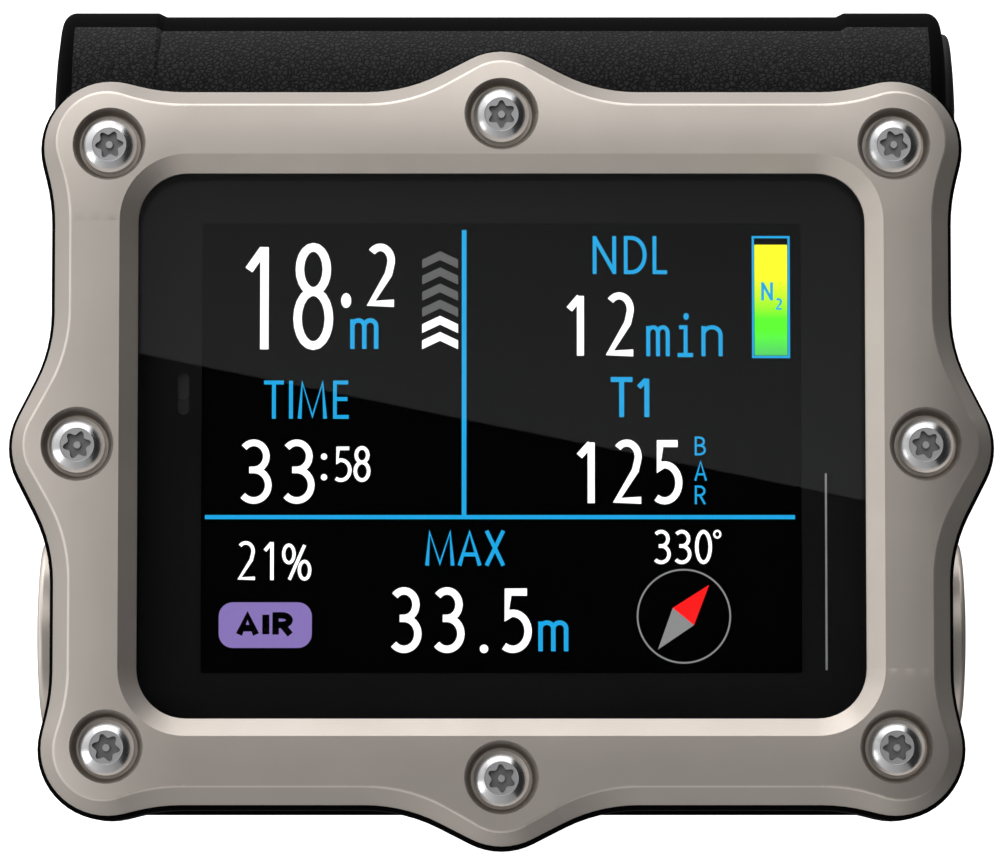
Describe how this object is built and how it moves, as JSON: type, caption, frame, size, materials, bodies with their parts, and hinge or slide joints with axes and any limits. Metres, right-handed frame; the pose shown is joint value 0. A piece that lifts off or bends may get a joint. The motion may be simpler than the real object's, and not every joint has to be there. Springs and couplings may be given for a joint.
{
  "type": "dive computer",
  "caption": "Wrist dive computer: scalloped metal bezel over a flat window and colour display, moulded case with a battery barrel, side push buttons and a strap cradle.",
  "frame": {"origin": "middle of the bounding box at the plane of the cradle's soles", "axes": "+Z out of the screen, +Y towards the battery barrel, +X towards the battery cap"},
  "size_m": [0.084, 0.0741, 0.038],
  "materials": {
    "titanium": "satin bead-blasted titanium, warm grey",
    "screw_steel": "bright machined stainless steel",
    "brass": "turned brass",
    "window_glass": "clear mineral glass",
    "mask_black": "black print behind glass",
    "seal_rubber": "black nitrile",
    "housing_black": "fine leather-grain moulded polymer",
    "cradle_black": "fine spark-eroded moulded polymer",
    "stainless": "turned stainless steel",
    "cap_black": "satin black with turned rings",
    "spring_steel": "nickel-plated wire",
    "cell_wrap": "printed shrink sleeve",
    "carrier_plastic": "moulded nylon",
    "lead_insulation": "silicone lead insulation",
    "display_glass": "display cell",
    "backlight_white": "white reflector tray",
    "chassis_plastic": "glass-filled nylon",
    "board_green": "solder mask over glass laminate",
    "chip_black": "moulded chip packages",
    "shield_tin": "tinned steel",
    "ribbon_amber": "polyimide flat cable",
    "ferrite": "sintered ferrite",
    "copper_wire": "enamelled copper winding"
  },
  "bodies": {
    "case": {"bezel": "titanium", "bezel_screws": "screw_steel", "bezel_inserts": "brass", "window": "window_glass", "window_mask": "mask_black", "window_seal": "seal_rubber", "main_housing": "housing_black", "strap_cradle": "cradle_black", "cradle_screws": "stainless", "cradle_inserts": "brass", "sensor_guard": "stainless", "pressure_sensor": "stainless", "sensor_seal": "seal_rubber", "sensor_retainer": "brass", "thread_ring": "stainless", "battery_cell": "cell_wrap", "contact_carrier": "carrier_plastic", "battery_contact": "spring_steel", "battery_leads": "lead_insulation", "display_panel": "display_glass", "display_backlight": "backlight_white", "chassis": "chassis_plastic", "chassis_screws": "stainless", "circuit_board": "board_green", "board_screws": "stainless", "board_chips": "chip_black", "board_shield": "shield_tin", "radio_module": "shield_tin", "compass_sensor": "chip_black", "light_sensor": "chip_black", "display_ribbon": "ribbon_amber", "vibration_motor": "shield_tin", "receiver_core": "ferrite", "receiver_coil": "copper_wire", "button_sleeve_left": "stainless", "button_sleeve_right": "stainless", "button_spring_left": "spring_steel", "button_spring_right": "spring_steel", "switch_board_left": "board_green", "switch_board_right": "board_green", "button_switch_left": "chip_black", "button_switch_right": "chip_black"},
    "battery_cap": {"battery_cap": "cap_black", "cap_contact_spring": "spring_steel"},
    "cap_seal_ring": {"cap_seal": "seal_rubber"},
    "left_button": {"button_left": "titanium", "button_seals_left": "seal_rubber", "button_clip_left": "stainless"},
    "right_button": {"button_right": "titanium", "button_seals_right": "seal_rubber", "button_clip_right": "stainless"}
  },
  "joints": [
    {"name": "left_button_press", "type": "slide", "parent": "case", "child": "left_button", "axis": [1, 0, 0], "range_m": [0, 0.0008], "stiffness_N_per_m": 600, "springref_m": -0.003, "deforming": ["button_spring_left"]},
    {"name": "right_button_press", "type": "slide", "parent": "case", "child": "right_button", "axis": [-1, 0, 0], "range_m": [0, 0.0008], "stiffness_N_per_m": 600, "springref_m": -0.003, "deforming": ["button_spring_right"]},
    {"name": "cap_unscrew", "type": "slide", "parent": "case", "child": "cap_seal_ring", "axis": [1, 0, 0], "range_m": [0, 0.009]},
    {"name": "cap_turn", "type": "hinge", "parent": "cap_seal_ring", "child": "battery_cap", "pos_m": [0.0384, 0.02655, 0.0176], "axis": [1, 0, 0], "range_deg": [0, 2161]}
  ],
  "couplings": [
    {"joint": "cap_turn", "follows": "cap_unscrew", "rad_per_m": 4188.8}
  ]
}
